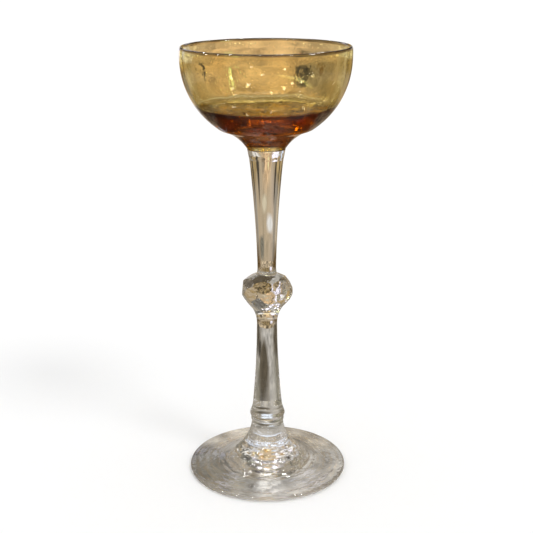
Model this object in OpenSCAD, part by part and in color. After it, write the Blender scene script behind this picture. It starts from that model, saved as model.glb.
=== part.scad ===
// Tall cordial glass: an amber bowl with a heavy base on a drawn clear stem, with a button under the
// bowl, a facet-cut knop half way up, a double ring and a trumpet foot. The pieces are gathers of
// glass that are joined hot, face to face.
// The table is z = 0, and the axis of the glass is the z axis.

/* [Foot] */
// Diameter of the foot at its lip
foot_d = 55.6; // [46:0.2:66]
// Height of the foot, from the table to the top of its neck
foot_h = 17.5; // [15:0.1:22]
// Thickness of the foot at its lip
foot_lip = 1.6; // [1.2:0.1:2.8]
// Slope of the top of the foot beside the lip, in degrees
foot_slope = 7; // [3:0.5:12]
// Diameter at which the foot starts to sweep up
foot_sweep_d = 36; // [30:0.5:42]
// Radius of the sweep from the foot to its neck
foot_sweep_r = 18; // [15:0.5:40]
// Diameter of the neck at the top of the foot
neck_d = 11; // [9:0.1:12]
// Width of the flat ring that the foot stands on
stand_w = 5; // [2:0.5:9]
// Depth of the hollow under the foot
hollow_h = 1.1; // [0.4:0.1:1.8]

/* [Rings] */
// Height of the lower ring
lower_ring_h = 2; // [1.6:0.1:3.2]
// Largest diameter of the lower ring
lower_ring_d = 11.6; // [11.4:0.1:14]
// Diameter of the groove between the two rings
groove_d = 11.1; // [9:0.1:11.3]
// Height of the upper ring
upper_ring_h = 4; // [2.6:0.1:5]
// Diameter of the upper ring at the edge of its skirt
upper_ring_d = 12.4; // [11.8:0.1:15]
// Height of the edge of the skirt above the lower face of the upper ring
upper_ring_edge = 1.1; // [0.6:0.1:1.8]

/* [Lower stem] */
// Length of the lower stem
lower_stem_h = 36.8; // [32:0.1:45]
// Diameter of the lower stem at the upper ring
lower_stem_foot_d = 10.5; // [8.5:0.1:11]
// Diameter of the lower stem at its waist
lower_waist_d = 7.2; // [6:0.1:8]
// Height of the waist above the upper ring
lower_waist_z = 30.3; // [27:0.1:32]
// Diameter of the head of the lower stem, under the knop
lower_head_d = 10.4; // [8.5:0.1:11]
// Radius of the long sweep below the waist
lower_sweep_r = 350; // [200:5:500]
// Radius of the short sweep above the waist
head_sweep_r = 10.6; // [8:0.1:14]

/* [Knop] */
// Height of the knop between the two stems
knop_h = 12.2; // [11:0.1:15]
// Diameter of the knop before its facets are cut
knop_d = 17.8; // [16.5:0.1:20]
// Height of the widest place of the knop above its lower face
knop_belly = 5.9; // [5.2:0.1:7]
// Slope of the knop's shoulder below the upper stem, in degrees
shoulder_slope = 27; // [15:1:35]
// Slope of the knop's underside above the lower stem, in degrees
under_slope = 50; // [35:1:60]
// Number of facets in each of the three rows
facet_count = 7; // [5:1:9]
// Distance of the girdle facets from the middle of the knop
girdle_reach = 8.45; // [8.2:0.05:9]
// Distance of the upper facets from the middle of the knop
crown_reach = 7.8; // [7.5:0.05:8.6]
// Distance of the lower facets from the middle of the knop
base_reach = 7.65; // [7.5:0.05:8.6]
// Tilt of the upper facets above the level, in degrees
crown_tilt = 39; // [28:1:42]
// Tilt of the lower facets below the level, in degrees
base_tilt = 31; // [24:1:34]
// Direction of one girdle facet round the axis, in degrees
facet_turn = 180; // [0:1:360]
// Lean of the hand-cut facet pattern, down towards +x, in degrees
facet_lean = 5; // [0:0.5:6]

/* [Upper stem] */
// Length of the upper stem
upper_stem_h = 39.9; // [32:0.1:50]
// Diameter of the upper stem at its head, under the button
upper_head_d = 11.5; // [9:0.1:12.6]
// Diameter of the upper stem at the knop
upper_foot_d = 6.9; // [6.6:0.1:8]
// Diameter of the upper stem at its waist
upper_waist_d = 6.5; // [5.6:0.1:6.6]
// Height of the waist above the knop
upper_waist_z = 2; // [1.2:0.1:3]
// Radius of the long sweep from the waist to the head
upper_sweep_r = 440; // [240:5:800]
// Radius of the short sweep below the waist
root_sweep_r = 8; // [4:0.5:16]

/* [Button] */
// Height of the button between the upper stem and the bowl
button_h = 3.4; // [2:0.1:5]

/* [Bowl] */
// Height of the bowl, from its seat on the button to the rim
bowl_h = 33.6; // [31:0.1:40]
// Diameter of the bowl at its widest place
bowl_d = 56.2; // [50:0.2:60]
// Height of the rim above the widest place of the bowl
rim_rise = 3.5; // [2.5:0.1:6]
// Diameter of the seat where the bowl stands on the button
seat_d = 12.8; // [10:0.1:15]
// Diameter at which the bowl starts to sweep down to its seat
bowl_sweep_d = 31; // [24:0.2:36]
// Height above the seat at which the bowl starts to sweep down to it
bowl_sweep_h = 6.66; // [5.5:0.02:8]
// Radius of the sweep under the bowl
bowl_sweep_r = 14.9; // [9:0.1:24]
// Thickness of the bowl's wall
bowl_wall = 1.2; // [0.9:0.05:2]
// Diameter of the fire-polished bead along the rim
rim_bead = 1.4; // [1.3:0.05:2.4]
// Depth of the bowl inside, from the rim to the floor
cavity_depth = 20; // [15:0.1:24]
// Radius of the corner between the floor and the wall inside the bowl
floor_corner_r = 3; // [1.5:0.1:5]

/* [Hidden] */
$fn = 96;
// Steps round the circles of the long, shallow sweeps
sweep_steps = 720;

amber = [0.78, 0.55, 0.16, 0.75];
clear = [0.80, 0.79, 0.74, 0.55];

// Angle between two facets of one row
facet_step = 360 / facet_count;

// Levels of the joints between the pieces
lower_ring_z = foot_h;
upper_ring_z = lower_ring_z + lower_ring_h;
lower_stem_z = upper_ring_z + upper_ring_h;
knop_z = lower_stem_z + lower_stem_h;
upper_stem_z = knop_z + knop_h;
button_z = upper_stem_z + upper_stem_h;
bowl_z = button_z + button_h;

// Middle of the circle of radius r that passes through two points of a profile and lies outside it;
// the points are [radius, height], the lower one first
function arc_middle(low, high, r) =
    let (chord = high - low)
    let (reach = norm(chord))
    let (out = [chord[1], -chord[0]] / reach)
    (low + high) / 2 + sqrt(r * r - reach * reach / 4) * out;

// Radius of the round that passes through a narrow place of a profile and is upright at its widest one
function round_r(narrow, wide) =
    let (rise = wide[1] - narrow[1])
    let (gap = wide[0] - narrow[0])
    (rise * rise + gap * gap) / (2 * gap);

// Solid band of a profile between two points, its side hollowed by a sweep of radius r
module hollow_band(low, high, r) {
    difference() {
        polygon([[0, low[1]], low, high, [0, high[1]]]);
        translate(arc_middle(low, high, r))
            circle(r = r, $fn = sweep_steps);
    }
}

// Solid band of a profile from a narrow end to its widest place, which is level with the middle of
// the round
module round_band(narrow, wide) {
    r = round_r(narrow, wide);
    intersection() {
        translate([wide[0] - r, wide[1]])
            circle(r = r);
        translate([0, min(narrow[1], wide[1])])
            square([wide[0], abs(wide[1] - narrow[1])]);
    }
}

// Foot with a round lip, a trumpet sweep up to its neck and a hollow underside
module foot() {
    lip_x = (foot_d - foot_lip) / 2;
    sweep_x = foot_sweep_d / 2;
    sweep_z = foot_lip + (lip_x - sweep_x) * tan(foot_slope);
    hollow_x = foot_d / 2 - foot_lip / 2 - stand_w;
    hollow_r = (hollow_x * hollow_x + hollow_h * hollow_h) / (2 * hollow_h);
    color(clear)
        rotate_extrude()
            difference() {
                union() {
                    polygon([[0, 0], [lip_x, 0], [lip_x, foot_lip], [sweep_x, sweep_z], [0, sweep_z]]);
                    intersection() {
                        translate([lip_x, foot_lip / 2])
                            circle(d = foot_lip);
                        translate([lip_x, 0])
                            square([foot_lip, foot_lip]);
                    }
                    hollow_band([sweep_x, sweep_z], [neck_d / 2, foot_h], foot_sweep_r);
                }
                intersection() {
                    translate([0, hollow_h - hollow_r])
                        circle(r = hollow_r, $fn = sweep_steps);
                    square([hollow_x, hollow_h]);
                }
            }
}

// Lower of the two rings, a flat bead
module lower_ring() {
    belly = [lower_ring_d / 2, lower_ring_h / 2];
    color(clear)
        translate([0, 0, lower_ring_z])
            rotate_extrude() {
                round_band([neck_d / 2, 0], belly);
                round_band([groove_d / 2, lower_ring_h], belly);
            }
}

// Upper ring, a skirt that widens from the stem down to its edge and is tucked in under it
module upper_ring() {
    edge = [upper_ring_d / 2, upper_ring_edge];
    top = [lower_stem_foot_d / 2, upper_ring_h];
    color(clear)
        translate([0, 0, upper_ring_z])
            rotate_extrude() {
                round_band([groove_d / 2, 0], edge);
                polygon([[0, edge[1]], edge, top, [0, top[1]]]);
            }
}

// Lower stem, waisted close under the knop
module lower_stem() {
    low = [lower_stem_foot_d / 2, 0];
    waist = [lower_waist_d / 2, lower_waist_z];
    head = [lower_head_d / 2, lower_stem_h];
    color(clear)
        translate([0, 0, lower_stem_z])
            rotate_extrude() {
                hollow_band(low, waist, lower_sweep_r);
                hollow_band(waist, head, head_sweep_r);
            }
}

// Ball of the knop before cutting, drawn in to the two stems
module knop_ball() {
    wide = knop_d / 2;
    low = lower_head_d / 2;
    high = upper_foot_d / 2;
    low_z = (wide - low) * tan(under_slope);
    high_z = knop_h - (wide - high) * tan(shoulder_slope);
    intersection() {
        translate([0, 0, knop_belly])
            sphere(d = knop_d);
        rotate_extrude()
            polygon([[0, 0], [low, 0], [wide, low_z], [wide, high_z], [high, knop_h], [0, knop_h]]);
    }
}

// Pointed stack of flat sides that cuts one sloping row of facets; each side has the given tilt above
// level and the given distance from the middle of the knop
module facet_point(tilt, reach) {
    point_z = reach / sin(tilt);
    side_x = (reach + knop_d * sin(tilt)) / cos(tilt);
    translate([0, 0, -knop_d])
        cylinder(h = point_z + knop_d, r1 = side_x / cos(facet_step / 2), r2 = 0, $fn = facet_count);
}

// Facet-cut knop: a row of facets round the girdle, with a row above and one below, half a step on
module knop() {
    color(clear)
        translate([0, 0, knop_z])
            intersection() {
                knop_ball();
                translate([0, 0, knop_belly])
                    rotate([0, facet_lean, 0])
                        rotate([0, 0, facet_turn])
                            intersection() {
                                rotate([0, 0, -facet_step / 2])
                                    cylinder(
                                        h = 2 * knop_d,
                                        r = girdle_reach / cos(facet_step / 2),
                                        center = true,
                                        $fn = facet_count
                                    );
                                facet_point(crown_tilt, crown_reach);
                                mirror([0, 0, 1])
                                    facet_point(base_tilt, base_reach);
                            }
            }
}

// Upper stem, drawn out from its head to a waist close over the knop
module upper_stem() {
    root = [upper_foot_d / 2, 0];
    waist = [upper_waist_d / 2, upper_waist_z];
    head = [upper_head_d / 2, upper_stem_h];
    color(clear)
        translate([0, 0, upper_stem_z])
            rotate_extrude() {
                hollow_band(root, waist, root_sweep_r);
                hollow_band(waist, head, upper_sweep_r);
            }
}

// Button of clear glass that joins the bowl to the upper stem
module button() {
    color(clear)
        translate([0, 0, button_z])
            cylinder(h = button_h, d1 = upper_head_d, d2 = seat_d);
}

// Space inside the bowl, open at the top: the ball above its widest place, the round below it and a
// level floor with a round corner
module bowl_cavity(sweep, belly) {
    floor_z = bowl_h - cavity_depth;
    round_middle = [belly[0] - round_r(sweep, belly), belly[1]];
    inner_r = round_r(sweep, belly) - bowl_wall;
    corner_reach = inner_r - floor_corner_r;
    corner_z = floor_z + floor_corner_r;
    corner_x = round_middle[0] + sqrt(pow(corner_reach, 2) - pow(belly[1] - corner_z, 2));
    meet = round_middle + ([corner_x, corner_z] - round_middle) * inner_r / corner_reach;
    intersection() {
        translate([0, belly[1]])
            circle(r = belly[0] - bowl_wall);
        translate([0, belly[1]])
            square([belly[0], bowl_h]);
    }
    intersection() {
        translate(round_middle)
            circle(r = inner_r);
        translate([0, meet[1]])
            square([belly[0], belly[1] - meet[1]]);
    }
    polygon([[0, floor_z], [corner_x, floor_z], meet, [0, meet[1]]]);
    intersection() {
        translate([corner_x, corner_z])
            circle(r = floor_corner_r);
        translate([0, floor_z])
            square([belly[0], meet[1] - floor_z]);
    }
}

// Amber bowl: a thin round wall on a heavy base, swept in to its seat on the stem
module bowl() {
    sweep = [bowl_sweep_d / 2, bowl_sweep_h];
    belly = [bowl_d / 2, bowl_h - rim_rise];
    bead_z = bowl_h - rim_bead / 2;
    rim_x = sqrt(pow(belly[0], 2) - pow(bead_z - belly[1], 2));
    color(amber)
        translate([0, 0, bowl_z])
            rotate_extrude() {
                difference() {
                    union() {
                        round_band([rim_x, bead_z], belly);
                        round_band(sweep, belly);
                        hollow_band([seat_d / 2, 0], sweep, bowl_sweep_r);
                    }
                    bowl_cavity(sweep, belly);
                }
                translate([rim_x - bowl_wall / 2, bead_z])
                    circle(d = rim_bead);
            }
}

foot();
lower_ring();
upper_ring();
lower_stem();
knop();
upper_stem();
button();
bowl();
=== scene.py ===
"""Looks of a tall cordial glass: an amber bowl on a clear stem, in a plain pale studio.

Each CAD node is replaced by a turned or cut piece of glass in the same place. Sizes are in
millimetres and angles in degrees; meshes, lamps and the camera are written in metres.
"""

import logging
import math
from dataclasses import dataclass, field, replace
from enum import Enum

import bmesh
import bpy
from mathutils import Matrix, Vector


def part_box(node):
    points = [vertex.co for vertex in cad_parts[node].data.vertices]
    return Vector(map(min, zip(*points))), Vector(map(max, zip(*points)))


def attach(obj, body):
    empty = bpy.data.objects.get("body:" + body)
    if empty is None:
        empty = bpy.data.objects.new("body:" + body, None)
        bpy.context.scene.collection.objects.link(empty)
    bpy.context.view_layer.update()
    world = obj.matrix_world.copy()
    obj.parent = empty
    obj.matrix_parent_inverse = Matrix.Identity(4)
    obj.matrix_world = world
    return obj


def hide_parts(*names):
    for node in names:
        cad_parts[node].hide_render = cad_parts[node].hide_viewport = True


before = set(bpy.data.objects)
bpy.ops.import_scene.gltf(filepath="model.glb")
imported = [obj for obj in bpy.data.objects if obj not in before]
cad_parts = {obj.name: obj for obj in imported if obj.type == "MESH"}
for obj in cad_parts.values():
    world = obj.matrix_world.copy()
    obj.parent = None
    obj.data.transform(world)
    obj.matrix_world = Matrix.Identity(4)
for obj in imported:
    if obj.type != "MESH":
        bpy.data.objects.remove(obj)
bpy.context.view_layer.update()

MM = 0.001
FULL_TURN = 360.0
BODY = "root"
SHEET_MAP = "sheet"
FEATHER = 0.3
LOG = logging.getLogger("cordial_glass")

# Middle of Blender's noise, and its usual swing to either side.
NOISE_MEAN = 0.5
NOISE_SWING = 0.25

# Numbers of the colour sockets of a Mix node.
MIX_FACTOR, MIX_FIRST, MIX_SECOND, MIX_RESULT = 0, 6, 7, 2

# Widths of the joints, each of which two pieces share, from the table up.
NECK_D = 11.0
GROOVE_D = 11.1
RING_D = 10.5
UNDER_KNOP_D = 10.4
OVER_KNOP_D = 6.9
STEM_D = 11.5
SEAT_D = 12.8

# Height of the spigot between the button and the bowl.
SPIGOT_H = 2.2

Colour = tuple[float, float, float]
Place = tuple[float, float]


class Edge(Enum):
    """What a stretch of an outline is on the finished glass."""

    POLISHED = "polished"
    FUSED = "fused"


class Bend(Enum):
    """Side of its chord to which an arc of an outline bulges."""

    OUTWARDS = 1
    INWARDS = -1


class Tone(Enum):
    """Emission colours of the studio papers that the glass mirrors and bends."""

    CREAM = (0.74, 0.51, 0.29)
    TAN = (0.49, 0.39, 0.265)
    ROSE = (0.52, 0.42, 0.32)
    STRAW = (0.66, 0.58, 0.42)
    FOG = (0.53, 0.505, 0.47)
    HAZE = (0.44, 0.42, 0.39)
    ASH = (0.34, 0.31, 0.27)
    STONE = (0.34, 0.31, 0.26)
    OLIVE = (0.24, 0.22, 0.17)
    SLATE = (0.13, 0.13, 0.125)
    AMBER = (0.62, 0.36, 0.08)
    DUSK = (0.075, 0.060, 0.040)
    UMBER = (0.050, 0.042, 0.032)
    RUSSET = (0.42, 0.30, 0.14)
    BROWN = (0.26, 0.14, 0.035)
    LILAC = (0.80, 0.78, 0.92)
    LIME = (0.80, 0.84, 0.42)
    GOLD = (1.0, 0.84, 0.50)
    WHITE = (1.0, 0.98, 0.95)
    ICE = (0.72, 0.82, 1.0)


def add_object(name: str, data: bpy.types.ID) -> bpy.types.Object:
    """Makes an object of some data and links it to the scene.

    Args:
        name: Name of the object.
        data: Its mesh, lamp or camera.

    Returns:
        The new object.
    """
    made = bpy.data.objects.new(name, data)
    bpy.context.scene.collection.objects.link(made)
    return made


class Sock:
    """A node's output that takes part in sums: each operator on it adds a Math node."""

    def __init__(self, graph: "Graph", node: bpy.types.Node, output: str | int = 0) -> None:
        """Wraps an output.

        Args:
            graph: Graph that the nodes of the sums go to.
            node: The node.
            output: Name or number of its output.
        """
        self.graph = graph
        self.node = node
        self.output = output

    @property
    def socket(self) -> bpy.types.NodeSocket:
        """The output itself."""
        return self.node.outputs[self.output]

    def __getitem__(self, output: str | int) -> "Sock":
        """Another output of the same node."""
        return Sock(self.graph, self.node, output)

    def maths(self, operation: str, *values: "Sock | float") -> "Sock":
        """Adds a Math node with these inputs, sockets or numbers, and gives its result."""
        return self.graph.node("ShaderNodeMath", {"operation": operation}, dict(enumerate(values)))

    def __add__(self, other: "Sock | float") -> "Sock":
        """Sum with a socket or a number."""
        return self.maths("ADD", self, other)

    def __radd__(self, other: float) -> "Sock":
        """Sum with a number on the left."""
        return self.maths("ADD", other, self)

    def __sub__(self, other: "Sock | float") -> "Sock":
        """Difference from a socket or a number."""
        return self.maths("SUBTRACT", self, other)

    def __rsub__(self, other: float) -> "Sock":
        """Difference of a number on the left."""
        return self.maths("SUBTRACT", other, self)

    def __mul__(self, other: "Sock | float") -> "Sock":
        """Product with a socket or a number."""
        return self.maths("MULTIPLY", self, other)

    def __rmul__(self, other: float) -> "Sock":
        """Product with a number on the left."""
        return self.maths("MULTIPLY", other, self)

    def __truediv__(self, other: "Sock | float") -> "Sock":
        """Quotient by a socket or a number."""
        return self.maths("DIVIDE", self, other)

    def __rtruediv__(self, other: float) -> "Sock":
        """Quotient of a number on the left."""
        return self.maths("DIVIDE", other, self)


class Graph:
    """Adds nodes to a shader tree or a geometry tree."""

    def __init__(self, tree: bpy.types.NodeTree) -> None:
        """Keeps the tree."""
        self.tree = tree

    def node(self, kind: str, settings: dict | None = None, sockets: dict | None = None) -> Sock:
        """Adds one node.

        Args:
            kind: The node's type name.
            settings: Properties, which are set first; "stops" holds a colour ramp's stops.
            sockets: Numbers, colours or Socks by the name or the number of the input.

        Returns:
            The new node's first output, which leads to its others.
        """
        made = self.tree.nodes.new(kind)
        for name, value in (settings or {}).items():
            if name == "stops":
                self._set_stops(made.color_ramp, value)
            else:
                setattr(made, name, value)
        for name, value in (sockets or {}).items():
            if isinstance(value, Sock):
                self.tree.links.new(value.socket, made.inputs[name])
            else:
                made.inputs[name].default_value = value
        return Sock(self, made)

    def parts(self, vector: Sock) -> tuple[Sock, ...]:
        """The three numbers of a vector."""
        made = self.node("ShaderNodeSeparateXYZ", sockets={"Vector": vector})
        return tuple(made[axis] for axis in "XYZ")

    def noise(self, place: Sock, scale: float, detail: float = 1.0, distortion: float = 0.0) -> Sock:
        """Adds noise.

        Args:
            place: Where the noise is read.
            scale: Number of its waves to a metre.
            detail: Number of finer layers in it.
            distortion: How much it is stirred.

        Returns:
            A number that swings about NOISE_MEAN.
        """
        return self.node(
            "ShaderNodeTexNoise",
            sockets={"Vector": place, "Scale": scale, "Detail": detail, "Distortion": distortion},
        )

    def mapped(self, value: Sock, span: Place, onto: Place) -> Sock:
        """Maps a span of a number onto another span, past whose ends it doesn't go."""
        ends = dict(zip(("From Min", "From Max", "To Min", "To Max"), (*span, *onto)))
        return self.node("ShaderNodeMapRange", sockets={"Value": value, **ends})

    @staticmethod
    def _set_stops(ramp: bpy.types.ColorRamp, stops: list[tuple[float, Colour]]) -> None:
        """Writes a colour ramp's stops.

        Args:
            ramp: The ramp, whose own two stops are used first.
            stops: Place and colour of each stop.
        """
        while len(ramp.elements) < len(stops):
            ramp.elements.new(0.5)
        for element, (place, colour) in zip(ramp.elements, stops):
            element.position = place
            element.color = (*colour, 1.0)


@dataclass(frozen=True)
class Finish:
    """A look that makes a node material of its own.

    Attributes:
        name: Name of the material.
    """

    name: str

    def material(self) -> bpy.types.Material:
        """Makes the node material.

        Returns:
            The new material.
        """
        made = bpy.data.materials.new(self.name)
        made.use_nodes = True
        made.node_tree.nodes.clear()
        graph = Graph(made.node_tree)
        graph.node("ShaderNodeOutputMaterial", sockets=self.wire(graph))
        return made

    def wire(self, graph: Graph) -> dict[str, Sock]:
        """Adds the nodes of the look and names what feeds the material's output."""
        raise NotImplementedError


class Shop:
    """Makes each finish once."""

    def __init__(self) -> None:
        """Starts with no finish."""
        self._made: dict[str, bpy.types.Material] = {}

    def material(self, finish: Finish) -> bpy.types.Material:
        """Finds a finish's material, which is made at its first use.

        Args:
            finish: The finish.

        Returns:
            Its material.
        """
        if finish.name not in self._made:
            self._made[finish.name] = finish.material()
        return self._made[finish.name]


@dataclass(frozen=True)
class Glass(Finish):
    """Polished glass with faint striae, ripples left by the tools, a scuffed standing ring and, where set,
    painted shade along the lip.

    Attributes:
        slot: The record's material slot; not used.
        tint: Colour of the clearest glass.
        striae: Colour along the striae.
        striae_scale: Number of striae to a metre, across and along the axis.
        striae_span: Noise at which the striae start, and at which they are full.
        ior: Index of refraction.
        absorb: Colour that the body of the glass keeps, or None where it keeps all light.
        density: Strength of the absorption per metre.
        ripple: Height of the tool ripples.
        ripple_length: Usual length of a ripple.
        ripple_fade: Heights between which the ripples grow weak, or None where they don't.
        faded: Share of the ripples that is left past those heights.
        ring: Height of the tool rings round the axis.
        ring_length: Distance between two rings.
        seed: Depth of the largest seeds, which are small round dimples.
        seed_r: Radius of a seed.
        seed_length: Usual distance between two seeds.
        lip: Heights between which painted shade darkens the glass towards its lip, or None where there is
            none.
        lip_shade_tint: Colour of the darkest places of the painted shade at the lip.
        lip_shade_scale: Number of those places of painted shade to a metre.
        scuff: Roughness of the deepest scuffs.
        scuff_h: Height over the table up to which the glass is scuffed.
        scuff_scale: Number of scuffs to a metre.
    """

    slot: str
    tint: Colour
    striae: Colour
    striae_scale: tuple[float, float, float] = (90.0, 90.0, 14.0)
    striae_span: Place = (0.35, 0.75)
    ior: float = 1.52
    absorb: Colour | None = None
    density: float = 0.0
    ripple: float = 0.006
    ripple_length: float = 7.7
    ripple_fade: Place | None = None
    faded: float = 0.08
    ring: float = 0.0
    ring_length: float = 2.8
    seed: float = 0.0
    seed_r: float = 0.5
    seed_length: float = 1.5
    # The lip fields paint shade into the base colour: a dark line along the rim, not a colour of the glass
    # itself.
    lip: Place | None = None
    lip_shade_tint: Colour = (0.20, 0.13, 0.06)
    lip_shade_scale: float = 160.0
    scuff: float = 0.35
    scuff_h: float = 0.9
    scuff_scale: float = 900.0

    def wire(self, graph: Graph) -> dict[str, Sock]:
        """Adds the polished surface and, in coloured glass, the body that absorbs light.

        Args:
            graph: The material's graph.

        Returns:
            What feeds the material's output, by the names of its sockets.
        """
        place = graph.node("ShaderNodeTexCoord")["Object"]
        shader = graph.node(
            "ShaderNodeBsdfPrincipled",
            sockets={
                "Base Color": self._colour(graph, place),
                "Roughness": self._roughness(graph, place),
                "IOR": self.ior,
                "Transmission Weight": 1.0,
                "Normal": self._relief(graph, place),
            },
        )
        feeds = {"Surface": shader}
        if self.absorb is not None:
            feeds["Volume"] = graph.node(
                "ShaderNodeVolumeAbsorption",
                sockets={"Color": (*self.absorb, 1.0), "Density": self.density},
            )
        return feeds

    def _colour(self, graph: Graph, place: Sock) -> Sock:
        """Tints the glass, with slow, drawn-out striae and, where there is one, the painted shade at the
        lip.

        Args:
            graph: The material's graph.
            place: Object coordinates.

        Returns:
            The base colour.
        """
        stretched = graph.node(
            "ShaderNodeMapping", sockets={"Vector": place, "Scale": self.striae_scale}
        )
        streaks = graph.noise(stretched, 1.0, detail=2.0, distortion=0.6)
        clear = graph.node(
            "ShaderNodeValToRGB",
            {"stops": list(zip(self.striae_span, (self.tint, self.striae)))},
            {"Fac": streaks},
        )
        return clear if self.lip is None else self._painted_lip_shade(graph, place, clear)

    def _painted_lip_shade(self, graph: Graph, place: Sock, clear: Sock) -> Sock:
        """Paints a patchy dark line of shade into the colour of the glass towards its lip.

        Args:
            graph: The material's graph.
            place: Object coordinates.
            clear: Its colour without the painted shade.

        Returns:
            The base colour.
        """
        low, high = self.lip
        *_, up = graph.parts(place)
        # Painted shade: darker towards the lip, patchy along it.
        shade_spots = graph.noise(place, self.lip_shade_scale) / NOISE_MEAN
        share = (up - low * MM) / ((high - low) * MM) * shade_spots
        mixed = graph.node(
            "ShaderNodeMix",
            {"data_type": "RGBA"},
            {
                MIX_FACTOR: share.maths("MAXIMUM", share, 0.0),
                MIX_FIRST: clear,
                MIX_SECOND: (*self.lip_shade_tint, 1.0),
            },
        )
        return mixed[MIX_RESULT]

    def _roughness(self, graph: Graph, place: Sock) -> Sock:
        """Polishes the glass clear, with fine scuffs where it stands on the table.

        Args:
            graph: The material's graph.
            place: Object coordinates.

        Returns:
            The roughness.
        """
        *_, up = graph.parts(place)
        low = graph.mapped(up, (self.scuff_h * MM, 0.0), (0.0, 1.0))
        return low * graph.noise(place, self.scuff_scale, detail=3.0) * self.scuff

    def _relief(self, graph: Graph, place: Sock) -> Sock:
        """Adds ripples of hand-worked glass, rings that the tools leave round the axis, and seeds.

        Args:
            graph: The material's graph.
            place: Object coordinates.

        Returns:
            The bent normal.
        """
        noise = graph.noise(place, 1.0 / (self.ripple_length * MM))
        right, back, up = graph.parts(place)
        fade = 1.0
        if self.ripple_fade is not None:
            low, high = self.ripple_fade
            fade = graph.mapped(up, (low * MM, high * MM), (1.0, self.faded))
        height = noise * self.ripple * fade
        if self.ring > 0:
            square = right * right + back * back
            along = square.maths("SQRT", square) - up
            turn = along * (math.tau / (self.ring_length * MM)) + noise * math.tau
            height = height + turn.maths("SINE", turn) * (self.ring * fade)
        if self.seed > 0:
            height = height - self._seeds(graph, place) * (self.seed * fade)
        return graph.node("ShaderNodeBump", sockets={"Strength": 1.0, "Distance": MM, "Height": height})

    def _seeds(self, graph: Graph, place: Sock) -> Sock:
        """Scatters small round dimples, some deeper than others.

        Args:
            graph: The material's graph.
            place: Object coordinates.

        Returns:
            Their depth, from 0 to 1.
        """
        cells = graph.node(
            "ShaderNodeTexVoronoi", sockets={"Vector": place, "Scale": 1.0 / (self.seed_length * MM)}
        )
        away = cells["Distance"] * (self.seed_length / self.seed_r)
        dimple = 1.0 - away * away
        depth = graph.node("ShaderNodeSeparateColor", sockets={"Color": cells["Color"]})
        return dimple.maths("MAXIMUM", dimple, 0.0) * depth


@dataclass(frozen=True)
class FusedJoint(Finish):
    """The place inside the glass where two pieces have run together: nothing shows there."""

    name: str = "fused_joint"

    def wire(self, graph: Graph) -> dict[str, Sock]:
        """Lets all light through."""
        return {"Surface": graph.node("ShaderNodeBsdfTransparent")}


@dataclass
class Outline:
    """Half section of a turned piece, drawn from the axis below it up its outside to the axis.

    Attributes:
        points: Radius and height of the points.
        fused: For each point, whether it lies on a fused joint.
        step: Usual distance between two points.
        arc_least: Least number of stretches in an arc.
        arc_share: Least number of stretches to a radius of an arc.
    """

    points: list[Vector] = field(default_factory=list)
    fused: list[bool] = field(default_factory=list)
    step: float = 0.4
    arc_least: int = 4
    arc_share: float = 5.0

    @classmethod
    def starting(cls, r: float, z: float, edge: Edge) -> "Outline":
        """Starts an outline at a point whose first stretch is of the given kind."""
        return cls([Vector((r, z))], [edge is Edge.FUSED])

    @classmethod
    def on_joint(cls, d: float, z: float) -> "Outline":
        """Starts an outline with the half section of a round joint under the piece."""
        return cls.starting(0.0, z, Edge.FUSED).line(d / 2, z, Edge.FUSED)

    def to_joint(self, z: float) -> "Outline":
        """Ends the outline with the half section of a round joint on top of the piece."""
        return self.line(0.0, z, Edge.FUSED)

    def line(self, r: float, z: float, edge: Edge = Edge.POLISHED) -> "Outline":
        """Draws a straight stretch.

        Args:
            r: Radius at its end.
            z: Height at its end.
            edge: What the stretch is.

        Returns:
            The outline, for the next stretch.
        """
        start, end = self.points[-1], Vector((r, z))
        if edge is Edge.FUSED:
            self.fused[-1] = True
            self._add(end, True)
            return self
        count = max(1, math.ceil((end - start).length / self.step))
        for k in range(1, count + 1):
            self._add(start.lerp(end, k / count), False)
        return self

    def arc(self, r: float, z: float, radius: float, bend: Bend) -> "Outline":
        """Draws a round stretch of less than half a turn.

        Args:
            r: Radius of the piece at its end.
            z: Height at its end.
            radius: Radius of the round.
            bend: Side to which it bulges.

        Returns:
            The outline, for the next stretch.
        """
        start, end = self.points[-1], Vector((r, z))
        chord = end - start
        outwards = Vector((chord.y, -chord.x)).normalized()
        back = math.sqrt(max(radius**2 - chord.length_squared / 4, 0.0))
        middle = (start + end) / 2 - bend.value * back * outwards
        first, last = start - middle, end - middle
        sweep = math.atan2(first.cross(last), first.dot(last))
        stretch = min(self.step, radius / self.arc_share)
        count = max(self.arc_least, math.ceil(abs(sweep) * radius / stretch))
        for k in range(1, count + 1):
            self._add(middle + Matrix.Rotation(sweep * k / count, 2) @ first, False)
        return self

    def fire_polished(self, passes: int) -> "Outline":
        """Rounds the corners between stretches, and leaves joints and the axis in place.

        Args:
            passes: How often each point moves towards its neighbours.

        Returns:
            The outline.
        """
        held = [f or p.x == 0 for f, p in zip(self.fused, self.points)]
        for _ in range(passes):
            old = self.points
            self.points = [
                old[i] if held[i] else (old[i - 1] + 2 * old[i] + old[i + 1]) / 4 for i in range(len(old))
            ]
        return self

    def _add(self, point: Vector, fused: bool) -> None:
        """Appends one point."""
        self.points.append(point)
        self.fused.append(fused)


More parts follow.
